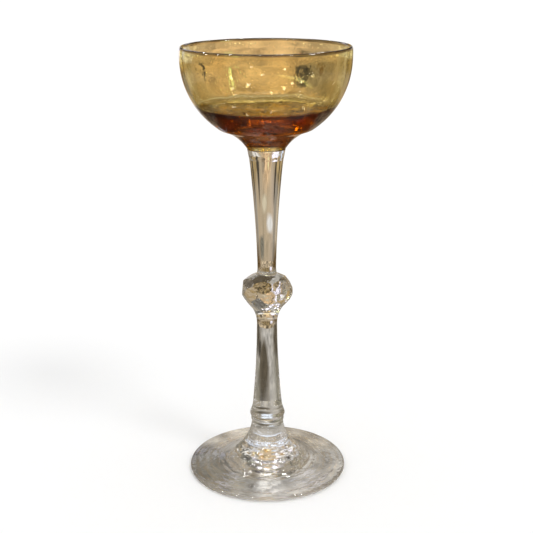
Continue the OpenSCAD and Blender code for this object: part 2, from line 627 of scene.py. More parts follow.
class Lathe:
    """Turns an outline round the axis with Geometry Nodes.

    Attributes:
        INPUTS: Named inputs of the node tree, with their kinds.
        MARKS: Names of the numbers that the points of an outline carry.
        WELD: Distance within which two points become one.
        FUSED_SHARE: Share of a face on a joint above which the face is fused.
    """

    INPUTS = {
        "Outline": "NodeSocketGeometry",
        "Segments": "NodeSocketInt",
        "Unevenness": "NodeSocketFloat",
        "Wave Length": "NodeSocketFloat",
        "Crease": "NodeSocketFloat",
        "Seed": "NodeSocketFloat",
        "Glass": "NodeSocketMaterial",
        "Joint": "NodeSocketMaterial",
    }
    MARKS = ("fused", "sway")
    WELD = 0.001
    FUSED_SHARE = 0.99

    def __init__(self) -> None:
        """Builds the node tree."""
        self.tree = bpy.data.node_groups.new("turned_glass", "GeometryNodeTree")
        self.inputs = {name: self._socket(name, kind) for name, kind in self.INPUTS.items()}
        self.tree.interface.new_socket("Turned", in_out="OUTPUT", socket_type="NodeSocketGeometry")
        self._wire()

    def _socket(self, name: str, kind: str) -> str:
        """Adds one named input to the tree and gives its identifier."""
        return self.tree.interface.new_socket(name, in_out="INPUT", socket_type=kind).identifier

    def _wire(self) -> None:
        """Adds the nodes: a grid is wrapped round the axis, each of its rows on one outline point."""
        graph = Graph(self.tree)
        given = graph.node("NodeGroupInput")
        outline = given["Outline"]
        count = graph.node("GeometryNodeAttributeDomainSize", sockets={"Geometry": outline})
        mesh = graph.node(
            "GeometryNodeMeshGrid",
            sockets={
                "Size X": 1.0,
                "Size Y": 1.0,
                "Vertices X": given["Segments"] + 1.0,
                "Vertices Y": count,
            },
        )
        # The grid lies about its middle, so half of its size takes its places to 0 to 1.
        across, along, _ = graph.parts(graph.node("GeometryNodeInputPosition"))
        angle = (across + 0.5) * math.tau
        row = graph.node(
            "FunctionNodeFloatToInt", {"rounding_mode": "ROUND"}, {0: (along + 0.5) * (count - 1.0)}
        )
        radius, _, height = graph.parts(self._sample(graph, outline, row, "FLOAT_VECTOR", None))
        wrapped = graph.node(
            "ShaderNodeCombineXYZ",
            sockets={
                "X": radius * angle.maths("COSINE", angle),
                "Y": radius * angle.maths("SINE", angle),
                "Z": height,
            },
        )
        for name in self.MARKS:
            value = self._sample(graph, outline, row, "FLOAT", name)
            mesh = graph.node(
                "GeometryNodeStoreNamedAttribute",
                {"data_type": "FLOAT", "domain": "POINT"},
                {"Geometry": mesh, "Name": name, "Value": value},
            )
        mesh = graph.node("GeometryNodeSetPosition", sockets={"Geometry": mesh, "Position": wrapped})
        mesh = graph.node(
            "GeometryNodeMergeByDistance",
            sockets={"Geometry": mesh, "Distance": self.WELD * MM},
        )
        mesh = self._uneven(graph, given, mesh)
        mesh = self._shaded(graph, given, mesh)
        self._finished(graph, given, mesh)

    @staticmethod
    def _sample(graph: Graph, outline: Sock, row: Sock, kind: str, name: str | None) -> Sock:
        """Reads a value of the outline point of a row.

        Args:
            graph: The tree's graph.
            outline: The outline's geometry.
            row: Number of the row.
            kind: Data type of the value.
            name: Name of the attribute, or None for the position.

        Returns:
            The value.
        """
        if name is None:
            value = graph.node("GeometryNodeInputPosition")
        else:
            value = graph.node("GeometryNodeInputNamedAttribute", {"data_type": kind}, {"Name": name})
        return graph.node(
            "GeometryNodeSampleIndex",
            {"data_type": kind, "domain": "POINT"},
            {"Geometry": outline, "Value": value, "Index": row},
        )

    @staticmethod
    def _uneven(graph: Graph, given: Sock, mesh: Sock) -> Sock:
        """Sinks the surface by slow waves, as hand-worked glass is never quite even.

        Args:
            graph: The tree's graph.
            given: The tree's inputs.
            mesh: The turned mesh.

        Returns:
            The mesh with its waves.
        """
        noise = graph.node(
            "ShaderNodeTexNoise",
            {"noise_dimensions": "4D"},
            {"W": given["Seed"], "Scale": 1.0 / given["Wave Length"], "Detail": 1.0},
        )
        sway = graph.node("GeometryNodeInputNamedAttribute", {"data_type": "FLOAT"}, {"Name": "sway"})
        depth = noise * sway * given["Unevenness"] * -1.0
        shift = graph.node(
            "ShaderNodeVectorMath",
            {"operation": "SCALE"},
            {0: graph.node("GeometryNodeInputNormal"), "Scale": depth},
        )
        return graph.node("GeometryNodeSetPosition", sockets={"Geometry": mesh, "Offset": shift})

    @staticmethod
    def _shaded(graph: Graph, given: Sock, mesh: Sock) -> Sock:
        """Shades the surface smooth, apart from its creases.

        Args:
            graph: The tree's graph.
            given: The tree's inputs.
            mesh: The mesh with its waves.

        Returns:
            The shaded mesh.
        """
        angle = graph.node("GeometryNodeInputMeshEdgeAngle")
        crease = graph.node(
            "FunctionNodeCompare",
            {"data_type": "FLOAT", "operation": "GREATER_THAN"},
            {0: angle, 1: given["Crease"]},
        )
        smooth = graph.node(
            "GeometryNodeSetShadeSmooth", {"domain": "FACE"}, {"Geometry": mesh, "Shade Smooth": True}
        )
        return graph.node(
            "GeometryNodeSetShadeSmooth",
            {"domain": "EDGE"},
            {"Geometry": smooth, "Selection": crease, "Shade Smooth": False},
        )

    @staticmethod
    def _finished(graph: Graph, given: Sock, mesh: Sock) -> None:
        """Realizes the mesh and gives it the glass and, on its fused ends, the joint finish.

        Args:
            graph: The tree's graph.
            given: The tree's inputs.
            mesh: The shaded mesh.
        """
        whole = graph.node("GeometryNodeRealizeInstances", sockets={"Geometry": mesh})
        glass = graph.node(
            "GeometryNodeSetMaterial", sockets={"Geometry": whole, "Material": given["Glass"]}
        )
        fused = graph.node("GeometryNodeInputNamedAttribute", {"data_type": "FLOAT"}, {"Name": "fused"})
        ends = graph.node(
            "FunctionNodeCompare",
            {"data_type": "FLOAT", "operation": "GREATER_THAN"},
            {0: fused, 1: Lathe.FUSED_SHARE},
        )
        joint = graph.node(
            "GeometryNodeSetMaterial",
            sockets={"Geometry": glass, "Selection": ends, "Material": given["Joint"]},
        )
        graph.node("NodeGroupOutput", sockets={0: joint})

    def turn(self, name: str, outline: Outline, values: dict[str, object]) -> bpy.types.Object:
        """Turns one piece.

        Args:
            name: Name of the new object.
            outline: The piece's half section.
            values: Values of the tree's named inputs.

        Returns:
            A plain mesh object at the origin.
        """
        line = bpy.data.meshes.new(name + "_outline")
        places = [(p.x * MM, 0.0, p.y * MM) for p in outline.points]
        line.from_pydata(places, [(i, i + 1) for i in range(len(places) - 1)], [])
        self._mark(line, "fused", [float(f) for f in outline.fused])
        self._mark(line, "sway", sway_along(outline))
        source = add_object(name + "_outline", line)
        modifier = source.modifiers.new("turn", "NODES")
        modifier.node_group = self.tree
        for key, value in values.items():
            modifier[self.inputs[key]] = value
        seen = source.evaluated_get(bpy.context.evaluated_depsgraph_get())
        mesh = bpy.data.meshes.new_from_object(seen)
        mesh.name = name
        mesh.materials.pop(index=list(mesh.materials).index(None))
        for mark in self.MARKS:
            mesh.attributes.remove(mesh.attributes[mark])
        bpy.data.objects.remove(source)
        bpy.data.meshes.remove(line)
        return add_object(name, mesh)

    @staticmethod
    def _mark(mesh: bpy.types.Mesh, name: str, values: list[float]) -> None:
        """Stores one number per point on an outline's mesh."""
        mesh.attributes.new(name, "FLOAT", "POINT").data.foreach_set("value", values)


def sway_along(outline: Outline, reach: float = 4.0, stand: float = 0.05) -> list[float]:
    """How far each point of an outline may move: not at joints or on the table, freely elsewhere.

    Args:
        outline: The outline.
        reach: Distance from a joint at which a point moves freely.
        stand: Height under which a point stands on the table.

    Returns:
        A number from 0 to 1 for each point.
    """
    held = [p for p, f in zip(outline.points, outline.fused) if f or p.y < stand]
    if not held:
        return [1.0] * len(outline.points)
    return [min(1.0, min((p - h).length for h in held) / reach) for p in outline.points]


def round_radius(rise: float, gap: float) -> float:
    """Radius of a round that is upright at its widest place.

    Args:
        rise: Height from the narrow place to the widest one.
        gap: Difference of their radii.

    Returns:
        The radius.
    """
    return (rise**2 + gap**2) / (2 * gap)


def towards(turn: float, rise: float) -> Vector:
    """A direction from the axis of the glass.

    Args:
        turn: Angle round the axis from +X, in radians.
        rise: Angle above the level, in radians.

    Returns:
        The direction, 1 long.
    """
    level = math.cos(rise)
    return Vector((level * math.cos(turn), level * math.sin(turn), math.sin(rise)))


@dataclass
class TurnedPiece:
    """A piece of glass in the place of one CAD node.

    Attributes:
        node: The CAD node that it stands for.
        glass: Its finish.
        segments: Faces round the axis.
        unevenness: Depth of the waves in its surface.
        wave_length: Length of those waves.
        crease: Angle above which an edge stays sharp.
        polish: How often the fire rounds its corners a little.
        seed: Seed of the waves.
    """

    node: str
    glass: Glass
    segments: int = 160
    unevenness: float = 0.05
    wave_length: float = 9.0
    crease: float = 40.0
    polish: int = 0
    seed: float = 1.0

    @property
    def low(self) -> float:
        """Height of the lower end of the piece."""
        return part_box(self.node)[0].z / MM

    @property
    def high(self) -> float:
        """Height of the upper end of the piece."""
        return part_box(self.node)[1].z / MM

    @property
    def widest(self) -> float:
        """Largest radius of the piece."""
        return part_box(self.node)[1].x / MM

    def outline(self) -> Outline:
        """Half section of the piece."""
        raise NotImplementedError

    def build(self, lathe: Lathe, shop: Shop) -> bpy.types.Object:
        """Turns the piece.

        Args:
            lathe: The lathe.
            shop: The finishes.

        Returns:
            The new object.
        """
        return lathe.turn(
            self.node + "_glass",
            self.outline().fire_polished(self.polish),
            {
                "Segments": self.segments,
                "Unevenness": self.unevenness * MM,
                "Wave Length": self.wave_length * MM,
                "Crease": math.radians(self.crease),
                "Seed": self.seed,
                "Glass": shop.material(self.glass),
                "Joint": shop.material(FusedJoint()),
            },
        )

    def dress(self, piece: bpy.types.Object) -> None:
        """Puts the piece in the frame in the place of its node.

        Args:
            piece: The piece's object.
        """
        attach(piece, BODY)
        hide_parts(self.node)


@dataclass
class Foot(TurnedPiece):
    """Trumpet foot with a round lip and a hollow underside.

    Attributes:
        lip: Thickness of the round lip.
        slope: Slope of its upper side.
        sweep_d: Width at which the upper side is swept up to the neck.
        sweep_r: Radius of that sweep.
        neck_d: Width of the neck.
        stand_w: Width of the flat ring that it stands on.
        hollow_h: Height of the hollow underside.
    """

    polish: int = 3
    lip: float = 1.6
    slope: float = 7.0
    sweep_d: float = 36.0
    sweep_r: float = 18.0
    neck_d: float = NECK_D
    stand_w: float = 5.0
    hollow_h: float = 1.1

    def outline(self) -> Outline:
        """Draws the foot, from its hollow underside up to its neck.

        Returns:
            Its half section.
        """
        lip_r = self.widest - self.lip / 2
        hollow_r = self.widest - self.lip / 2 - self.stand_w
        dome = (hollow_r**2 + self.hollow_h**2) / (2 * self.hollow_h)
        sweep_z = self.lip + (lip_r - self.sweep_d / 2) * math.tan(math.radians(self.slope))
        return (
            Outline.starting(0.0, self.hollow_h, Edge.POLISHED)
            .arc(hollow_r, 0.0, dome, Bend.INWARDS)
            .line(lip_r, 0.0)
            .arc(lip_r, self.lip, self.lip / 2, Bend.OUTWARDS)
            .line(self.sweep_d / 2, sweep_z)
            .arc(self.neck_d / 2, self.high, self.sweep_r, Bend.INWARDS)
            .to_joint(self.high)
        )


@dataclass
class LowerRing(TurnedPiece):
    """Flat bead on the neck of the foot.

    Attributes:
        neck_d: Width of its lower joint.
        groove_d: Width of its upper joint.
    """

    neck_d: float = NECK_D
    groove_d: float = GROOVE_D

    def outline(self) -> Outline:
        """Draws the lower ring.

        Returns:
            Its half section.
        """
        middle = (self.low + self.high) / 2
        rise = (self.high - self.low) / 2
        neck_r, groove_r = self.neck_d / 2, self.groove_d / 2
        return (
            Outline.on_joint(self.neck_d, self.low)
            .arc(self.widest, middle, round_radius(rise, self.widest - neck_r), Bend.OUTWARDS)
            .arc(groove_r, self.high, round_radius(rise, self.widest - groove_r), Bend.OUTWARDS)
            .to_joint(self.high)
        )


@dataclass
class UpperRing(TurnedPiece):
    """Skirt that widens from the stem down to its edge and is tucked in under it.

    Attributes:
        groove_d: Width of its lower joint.
        edge_h: Height of its edge over that joint.
        stem_d: Width of its upper joint.
    """

    polish: int = 2
    groove_d: float = GROOVE_D
    edge_h: float = 1.1
    stem_d: float = RING_D

    def outline(self) -> Outline:
        """Draws the upper ring.

        Returns:
            Its half section.
        """
        tuck = round_radius(self.edge_h, self.widest - self.groove_d / 2)
        return (
            Outline.on_joint(self.groove_d, self.low)
            .arc(self.widest, self.low + self.edge_h, tuck, Bend.OUTWARDS)
            .line(self.stem_d / 2, self.high)
            .to_joint(self.high)
        )


@dataclass(kw_only=True)
class Stem(TurnedPiece):
    """Stem that is drawn in to a waist.

    Attributes:
        foot_d: Width of its lower end.
        waist_d: Width of its waist.
        waist_h: Height of the waist over the lower end.
        head_d: Width of its upper end.
        foot_sweep_r: Radius of the sweep from the lower end to the waist.
        head_sweep_r: Radius of the sweep from the waist to the upper end.
    """

    foot_d: float
    waist_d: float
    waist_h: float
    head_d: float
    foot_sweep_r: float
    head_sweep_r: float

    def outline(self) -> Outline:
        """Draws the stem.

        Returns:
            Its half section.
        """
        return (
            Outline.on_joint(self.foot_d, self.low)
            .arc(self.waist_d / 2, self.low + self.waist_h, self.foot_sweep_r, Bend.INWARDS)
            .arc(self.head_d / 2, self.high, self.head_sweep_r, Bend.INWARDS)
            .to_joint(self.high)
        )


@dataclass
class Button(TurnedPiece):
    """Clear gather that joins the bowl to the upper stem.

    Attributes:
        stem_d: Width of its lower joint.
        seat_d: Width of the bowl's seat on it.
        spigot_d: Width of the spigot that goes up into the bowl.
        spigot_h: Height of the spigot.
        seat_gap: Gap under the bowl.
    """

    stem_d: float = STEM_D
    seat_d: float = SEAT_D
    spigot_d: float = 10.9
    spigot_h: float = SPIGOT_H
    seat_gap: float = 0.05

    def outline(self) -> Outline:
        """Draws the button.

        Returns:
            Its half section.
        """
        return (
            Outline.on_joint(self.stem_d, self.low)
            .line(self.seat_d / 2, self.high - self.seat_gap)
            .line(self.spigot_d / 2, self.high - self.seat_gap)
            .line(self.spigot_d / 2, self.high + self.spigot_h - self.seat_gap)
            .line(0.0, self.high + self.spigot_h - self.seat_gap)
        )


@dataclass
class Bowl(TurnedPiece):
    """Amber bowl: a thin round wall on a heavy base that is swept in to its seat.

    Attributes:
        seat_d: Width of the seat.
        socket_d: Width of the socket that takes the button's spigot.
        socket_h: Height of the socket.
        sweep_d: Width at which the sweep of the base meets the round of the bowl.
        sweep_h: Height of that place over the seat.
        sweep_r: Radius of the sweep.
        rim_rise: Height of the rim over the widest place.
        wall: Thickness of the wall.
        bead: Thickness of the bead round the rim.
        depth: Depth of the drinking space.
        corner_r: Radius between its wall and its floor.
    """

    polish: int = 3
    seat_d: float = SEAT_D
    socket_d: float = 11.0
    socket_h: float = SPIGOT_H
    sweep_d: float = 31.0
    sweep_h: float = 6.66
    sweep_r: float = 14.9
    rim_rise: float = 3.5
    wall: float = 1.2
    bead: float = 1.4
    depth: float = 20.0
    corner_r: float = 3.0

    def outline(self) -> Outline:
        """Draws the bowl, outside and inside.

        Returns:
            Its half section.
        """
        belly_z = self.high - self.rim_rise
        bead_z = self.high - self.bead / 2
        outer = self.widest
        inner = outer - self.wall
        rim_r = math.sqrt(outer**2 - (bead_z - belly_z) ** 2) - self.wall / 2
        floor_z = self.high - self.depth
        corner_z = floor_z + self.corner_r
        reach = inner - self.corner_r
        corner_x = math.sqrt(reach**2 - (belly_z - corner_z) ** 2)
        meet_x = corner_x * inner / reach
        meet_z = belly_z + (corner_z - belly_z) * inner / reach
        return (
            Outline.starting(0.0, self.low + self.socket_h, Edge.POLISHED)
            .line(self.socket_d / 2, self.low + self.socket_h)
            .line(self.socket_d / 2, self.low)
            .line(self.seat_d / 2, self.low)
            .arc(self.sweep_d / 2, self.low + self.sweep_h, self.sweep_r, Bend.INWARDS)
            .arc(outer, belly_z, outer, Bend.OUTWARDS)
            .arc(rim_r + self.bead / 2, bead_z, outer, Bend.OUTWARDS)
            .arc(rim_r, self.high, self.bead / 2, Bend.OUTWARDS)
            .arc(rim_r - self.bead / 2, bead_z, self.bead / 2, Bend.OUTWARDS)
            .arc(inner, belly_z, inner, Bend.INWARDS)
            .arc(meet_x, meet_z, inner, Bend.INWARDS)
            .arc(corner_x, floor_z, self.corner_r, Bend.INWARDS)
            .line(0.0, floor_z)
        )


@dataclass
class Knop(TurnedPiece):
    """Ball that is cut all round with three rows of flat facets.

    Attributes:
        ball_d: Width of the ball before it is cut.
        belly_h: Height of its middle over the lower joint.
        low_d: Width of the lower joint.
        high_d: Width of the upper joint.
        shoulder_slope: Slope between the ball and the upper joint.
        under_slope: Slope between the lower joint and the ball.
        facet_count: Number of facets in a row.
        girdle_reach: Distance of the middle row from the middle of the ball.
        crown_reach: Distance of the upper row.
        crown_tilt: Angle by which the upper row faces up.
        base_reach: Distance of the lower row.
        base_tilt: Angle by which the lower row faces down.
        turn: Angle of the first facet round the axis.
        lean: Angle by which the rows lean to one side.
        cut_tolerance: Distance from a plane within which a point lies on it.
    """

    ball_d: float = 17.8
    belly_h: float = 5.9
    low_d: float = UNDER_KNOP_D
    high_d: float = OVER_KNOP_D
    shoulder_slope: float = 27.0
    under_slope: float = 50.0
    facet_count: int = 7
    girdle_reach: float = 8.45
    crown_reach: float = 7.8
    crown_tilt: float = 39.0
    base_reach: float = 7.65
    base_tilt: float = 31.0
    turn: float = 180.0
    lean: float = 5.0
    cut_tolerance: float = 0.0002

    def outline(self) -> Outline:
        """Draws the ball before it is cut.

        Returns:
            Its half section.
        """
        ball = self.ball_d / 2
        belly_z = self.low + self.belly_h
        under = self._meet(ball, self.low_d / 2, self.low - belly_z, self.under_slope)
        shoulder = self._meet(ball, self.high_d / 2, belly_z - self.high, self.shoulder_slope)
        return (
            Outline.on_joint(self.low_d, self.low)
            .line(under[0], belly_z + under[1])
            .arc(ball, belly_z, ball, Bend.OUTWARDS)
            .arc(shoulder[0], belly_z - shoulder[1], ball, Bend.OUTWARDS)
            .line(self.high_d / 2, self.high)
            .to_joint(self.high)
        )

    @staticmethod
    def _meet(ball: float, r: float, z: float, slope: float) -> Place:
        """Place where a cone that rises from a stem meets the ball.

        Args:
            ball: Radius of the ball, whose middle is at height 0.
            r: Radius of the stem.
            z: Height of the stem's end, under the middle.
            slope: Slope of the cone.

        Returns:
            Radius and height of the place.
        """
        along = Vector((math.cos(math.radians(slope)), math.sin(math.radians(slope))))
        start = Vector((r, z))
        half = start.dot(along)
        length = -half + math.sqrt(half**2 - start.length_squared + ball**2)
        end = start + length * along
        return end.x, end.y

    def planes(self) -> list[tuple[Vector, Vector]]:
        """Sets out the planes of the facets.

        Returns:
            A point and the outward direction of each plane, in metres.
        """
        step = math.tau / self.facet_count
        # A row's turn in facets, and the tilt of its facets and their distance from the middle.
        rows = (
            (0.0, 0.0, self.girdle_reach),
            (0.5, self.crown_tilt, self.crown_reach),
            (0.5, -self.base_tilt, self.base_reach),
        )
        leaning = Matrix.Rotation(math.radians(self.lean), 3, "Y")
        middle = Vector((0.0, 0.0, self.low + self.belly_h))
        made = []
        for shift, tilt, reach in rows:
            for k in range(self.facet_count):
                angle = (k + shift) * step + math.radians(self.turn)
                facing = leaning @ towards(angle, math.radians(tilt))
                made.append(((middle + reach * facing) * MM, facing))
        return made

    def build(self, lathe: Lathe, shop: Shop) -> bpy.types.Object:
        """Turns the ball and cuts its facets.

        Args:
            lathe: The lathe.
            shop: The finishes.

        Returns:
            The new object.
        """
        piece = super().build(lathe, shop)
        cut = bmesh.new()
        cut.from_mesh(piece.data)
        for point, facing in self.planes():
            self._cut(cut, point, facing)
        bmesh.ops.recalc_face_normals(cut, faces=cut.faces)
        cut.to_mesh(piece.data)
        cut.free()
        return piece

    def _cut(self, mesh: bmesh.types.BMesh, point: Vector, facing: Vector) -> None:
        """Takes off what lies beyond a plane and closes the mesh with one flat facet.

        Args:
            mesh: The ball.
            point: A point of the plane, in metres.
            facing: The plane's outward direction.
        """
        everything = mesh.verts[:] + mesh.edges[:] + mesh.faces[:]
        made = bmesh.ops.bisect_plane(
            mesh,
            geom=everything,
            dist=self.cut_tolerance * MM,
            plane_co=point,
            plane_no=facing,
            clear_outer=True,
        )
        edges = [e for e in made["geom_cut"] if isinstance(e, bmesh.types.BMEdge)]
        filled = bmesh.ops.holes_fill(mesh, edges=edges, sides=0)
        for facet in filled["faces"]:
            facet.smooth = True
            facet.material_index = 0
            for edge in facet.edges:
                edge.smooth = False


@dataclass(frozen=True)
class Matt(Finish):
    """Plain matt paint.

    Attributes:
        tone: Its colour.
    """

    tone: Colour

    def wire(self, graph: Graph) -> dict[str, Sock]:
        """Adds the paint."""
        paint = graph.node("ShaderNodeBsdfDiffuse", sockets={"Color": (*self.tone, 1.0)})
        return {"Surface": paint}


@dataclass(frozen=True)
class Paper(Finish):
    """Evenly glowing studio paper, faintly stained, whose tone may change round the glass.

    Attributes:
        tones: Tones by their direction from straight behind the glass, to the right.
        glow: Strength of the glow.
        stain: Share of the tone by which the stains lighten or darken it.
        stain_length: Usual length of a stain.
        darkest: Share of the tone that the darkest stains leave.
        waver: Angle by which the borders between the tones wander.
        feather: Share of the sheet over which it thins out towards each of its edges.
    """

    tones: tuple[tuple[float, Tone], ...]
    glow: float = 1.0
    stain: float = 0.4
    stain_length: float = 25.0
    darkest: float = 0.05
    waver: float = 5.0
    feather: float = 0.0

    def wire(self, graph: Graph) -> dict[str, Sock]:
        """Adds the glow, which thins out towards the edges of a feathered sheet.

        Args:
            graph: The material's graph.

        Returns:
            What feeds the material's output, by the names of its sockets.
        """
        glow = graph.node(
            "ShaderNodeEmission", sockets={"Color": self._colour(graph), "Strength": self.glow}
        )
        if self.feather == 0:
            return {"Surface": glow}
        clear = graph.node("ShaderNodeBsdfTransparent")
        sheet = graph.node(
            "ShaderNodeMixShader",
            sockets={"Fac": self._cover(graph), 1: clear, 2: glow},
        )
        return {"Surface": sheet}

    def _colour(self, graph: Graph) -> Sock:
        """Gives each direction its tone, with stains.

        Args:
            graph: The material's graph.

        Returns:
            The colour of the glow.
        """
        place = graph.node("ShaderNodeTexCoord")["Object"]
        uneven = graph.noise(place, 1.0 / (self.stain_length * MM), detail=2.0) - NOISE_MEAN
        right, back, _ = graph.parts(place)
        wander = uneven * (self.waver / NOISE_MEAN / FULL_TURN)
        turn = right.maths("ARCTAN2", right, back) / math.tau + 0.5 + wander
        stops = [(azimuth / FULL_TURN + 0.5, tone.value) for azimuth, tone in self.tones]
        ramp = graph.node("ShaderNodeValToRGB", {"stops": stops}, {"Fac": turn})
        shade = uneven * (self.stain / NOISE_SWING) + 1.0
        return graph.node(
            "ShaderNodeVectorMath",
            {"operation": "SCALE"},
            {0: ramp, "Scale": shade.maths("MAXIMUM", shade, self.darkest)},
        )

    def _cover(self, graph: Graph) -> Sock:
        """Thins the sheet out towards its edges.

        Args:
            graph: The material's graph.

        Returns:
            How much of the sheet is there, from 0 at its edges to 1.
        """
        sheet = graph.node("ShaderNodeUVMap", {"uv_map": SHEET_MAP})
        along, up, _ = graph.parts(sheet)
        cover = along.maths("MINIMUM", along, 1.0 - along) * up.maths("MINIMUM", up, 1.0 - up)
        return cover.maths("MINIMUM", cover / self.feather**2, 1.0)


@dataclass(frozen=True)
class Card:
    """A sheet of paper round the axis of the glass, which only mirrors and lenses see.

    Attributes:
        name: Name of the card.
        paper: Its paper.
        near: Distance from the axis and height of one edge.
        far: Distance from the axis and height of the opposite edge.
        azimuth: Direction of its middle from straight behind the glass, to the right.
        width: Angle that it takes up.
        mirrored_only: Whether only mirrors see it, and lenses don't.
        step: Largest angle of one face.
    """

    name: str
    paper: Paper
    near: Place
    far: Place
    azimuth: float = 0.0
    width: float = FULL_TURN
    mirrored_only: bool = False
    step: float = 5.0

    @classmethod
    def leaning(
        cls,
        name: str,
        tone: Tone,
        near: Place,
        far: Place,
        turn: Place,
        glow: float = 1.0,
        stain: Place = (0.4, 25.0),
    ) -> "Card":
        """A sheet of one tone that thins out towards its edges.

        Args:
            name: Name of the card.
            tone: Its tone.
            near: Distance from the axis and height of one edge.
            far: Distance from the axis and height of the opposite edge.
            turn: Direction of its middle, and the angle that it takes up.
            glow: Strength of its glow.
            stain: Strength and usual length of its stains.

        Returns:
            The card.
        """
        tones = ((-FULL_TURN / 2, tone), (FULL_TURN / 2, tone))
        paper = Paper(name + "_paper", tones, glow, *stain, feather=FEATHER)
        return cls(name, paper, near, far, *turn)

    @classmethod
    def upright(
        cls, name: str, tone: Tone, reach: float, heights: Place, turn: Place, *more: float | Place
    ) -> "Card":
        """A sheet that stands at one distance, with more values as those of a leaning sheet."""
        low, high = heights
        return cls.leaning(name, tone, (reach, low), (reach, high), turn, *more)

    @classmethod
    def level(
        cls, name: str, tone: Tone, height: float, reaches: Place, turn: Place, *more: float | Place
    ) -> "Card":
        """A sheet that lies at one height, with more values as those of a leaning sheet."""
        near, far = reaches
        return cls.leaning(name, tone, (near, height), (far, height), turn, *more)

    def build(self, shop: Shop) -> None:
        """Makes the card of its paper.

        Args:
            shop: The finishes.
        """
        count = max(2, math.ceil(self.width / self.step))
        corners = []
        for k in range(count + 1):
            angle = math.radians(self.azimuth + self.width * (k / count - 0.5))
            for reach, height in (self.near, self.far):
                corners.append((math.sin(angle) * reach * MM, math.cos(angle) * reach * MM, height * MM))
        mesh = bpy.data.meshes.new(self.name)
        mesh.from_pydata(corners, [], [(2 * k, 2 * k + 2, 2 * k + 3, 2 * k + 1) for k in range(count)])
        sheet = mesh.uv_layers.new(name=SHEET_MAP)
        for loop, place in zip(mesh.loops, sheet.uv):
            place.vector = (loop.vertex_index // 2 / count, loop.vertex_index % 2)
        mesh.materials.append(shop.material(self.paper))
        made = add_object(self.name, mesh)
        made.visible_camera = False
        made.visible_diffuse = False
        made.visible_shadow = False
        made.visible_transmission = not self.mirrored_only


TABLE_PAPER = Paper(
    "table_paper",
    (
        (-180.0, Tone.STONE), (-150.0, Tone.TAN), (-128.0, Tone.OLIVE), (-100.0, Tone.ROSE),
        (-58.0, Tone.ROSE), (-50.0, Tone.STRAW), (-42.0, Tone.ROSE), (-36.0, Tone.STONE),
        (-30.0, Tone.STONE), (-22.0, Tone.ROSE), (-4.0, Tone.TAN), (34.0, Tone.TAN),
        (42.0, Tone.STONE), (95.0, Tone.ROSE), (125.0, Tone.OLIVE), (155.0, Tone.TAN),
        (180.0, Tone.STONE),
    ),
    stain=0.25,
    stain_length=60.0,
)
MIDDLE_PAPER = Paper(
    "middle_paper",
    (
        (-180.0, Tone.OLIVE), (-60.0, Tone.STONE), (-20.0, Tone.TAN), (70.0, Tone.TAN),
        (180.0, Tone.OLIVE),
    ),
    stain=1.4,
    stain_length=24.0,
)
WAIST_PAPER = Paper(
    "waist_paper",
    (
        (-180.0, Tone.OLIVE), (-90.0, Tone.STONE), (-45.0, Tone.OLIVE), (-12.0, Tone.FOG),
        (18.0, Tone.FOG), (28.0, Tone.ASH), (90.0, Tone.FOG), (180.0, Tone.OLIVE),
    ),
    stain=0.45,
    stain_length=14.0,
)
NEAR_PAPER = replace(
    WAIST_PAPER,
    name="near_paper",
    tones=(
        (-180.0, Tone.OLIVE), (-90.0, Tone.STONE), (-45.0, Tone.OLIVE), (-12.0, Tone.FOG),
        (-4.0, Tone.ASH), (18.0, Tone.SLATE), (28.0, Tone.OLIVE), (90.0, Tone.FOG),
        (180.0, Tone.OLIVE),
    ),
)
UNDER_PAPER = Paper(
    "under_paper",
    (
        (-180.0, Tone.FOG), (-135.0, Tone.OLIVE), (-80.0, Tone.SLATE), (-35.0, Tone.FOG),
        (0.0, Tone.FOG), (40.0, Tone.ASH), (90.0, Tone.HAZE), (180.0, Tone.FOG),
    ),
    stain=0.7,
    stain_length=9.0,
)
ROOF_PAPER = Paper(
    "roof_paper",
    (
        (-180.0, Tone.STONE), (-140.0, Tone.OLIVE), (-90.0, Tone.STRAW), (-60.0, Tone.ROSE),
        (-30.0, Tone.FOG), (0.0, Tone.ASH), (30.0, Tone.SLATE), (70.0, Tone.OLIVE),
        (120.0, Tone.ASH), (180.0, Tone.STONE),
    ),
    stain=0.9,
    stain_length=38.0,
)


